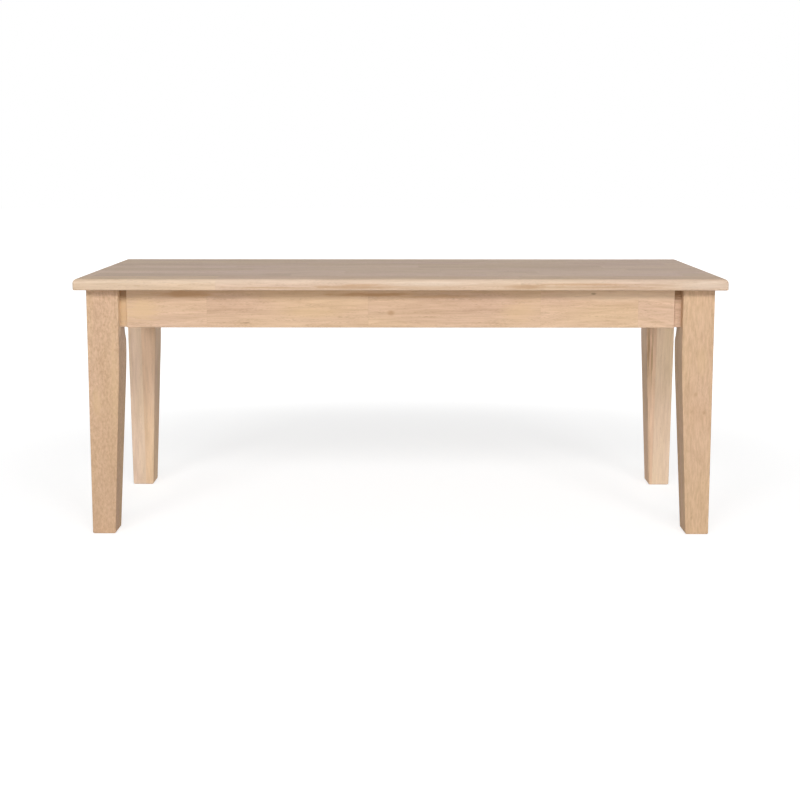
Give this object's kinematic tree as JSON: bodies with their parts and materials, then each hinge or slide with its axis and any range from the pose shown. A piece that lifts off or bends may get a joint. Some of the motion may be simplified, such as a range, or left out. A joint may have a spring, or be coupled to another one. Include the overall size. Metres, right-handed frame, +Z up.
{
  "type": "dining bench",
  "caption": "Backless dining bench in pale unfinished hardwood: flat overhanging seat with a rounded top edge, plain aprons, and square legs tapered on their inner faces.",
  "frame": {"origin": "on the floor, under the middle of the seat", "axes": "+X along the bench to the right seen from the front, the front faces -Y, +Z up"},
  "size_m": [1.17, 0.39, 0.474],
  "materials": {
    "seat_wood": "sanded bare hardwood, edge-glued staves",
    "apron_wood": "sanded bare hardwood, end-jointed blocks",
    "leg_wood": "sanded bare hardwood, glued from two boards",
    "block_wood": "sawn bare hardwood",
    "zinc_steel": "bright zinc plate"
  },
  "bodies": {
    "root": {"seat_stave_1": "seat_wood", "seat_stave_2": "seat_wood", "seat_stave_3": "seat_wood", "seat_stave_4": "seat_wood", "seat_stave_5": "seat_wood", "seat_stave_6": "seat_wood", "seat_stave_7": "seat_wood", "seat_stave_8": "seat_wood", "front_apron": "apron_wood", "back_apron": "apron_wood", "left_apron": "apron_wood", "right_apron": "apron_wood", "front_left_leg_outer_half": "leg_wood", "front_left_leg_inner_half": "leg_wood", "front_right_leg_outer_half": "leg_wood", "front_right_leg_inner_half": "leg_wood", "back_left_leg_outer_half": "leg_wood", "back_left_leg_inner_half": "leg_wood", "back_right_leg_outer_half": "leg_wood", "back_right_leg_inner_half": "leg_wood", "centre_rail": "block_wood", "front_left_corner_block": "block_wood", "front_right_corner_block": "block_wood", "back_left_corner_block": "block_wood", "back_right_corner_block": "block_wood", "hanger_bolts": "zinc_steel", "washers": "zinc_steel", "nuts": "zinc_steel", "corner_block_screws": "zinc_steel", "seat_screws": "zinc_steel"}
  },
  "joints": []
}
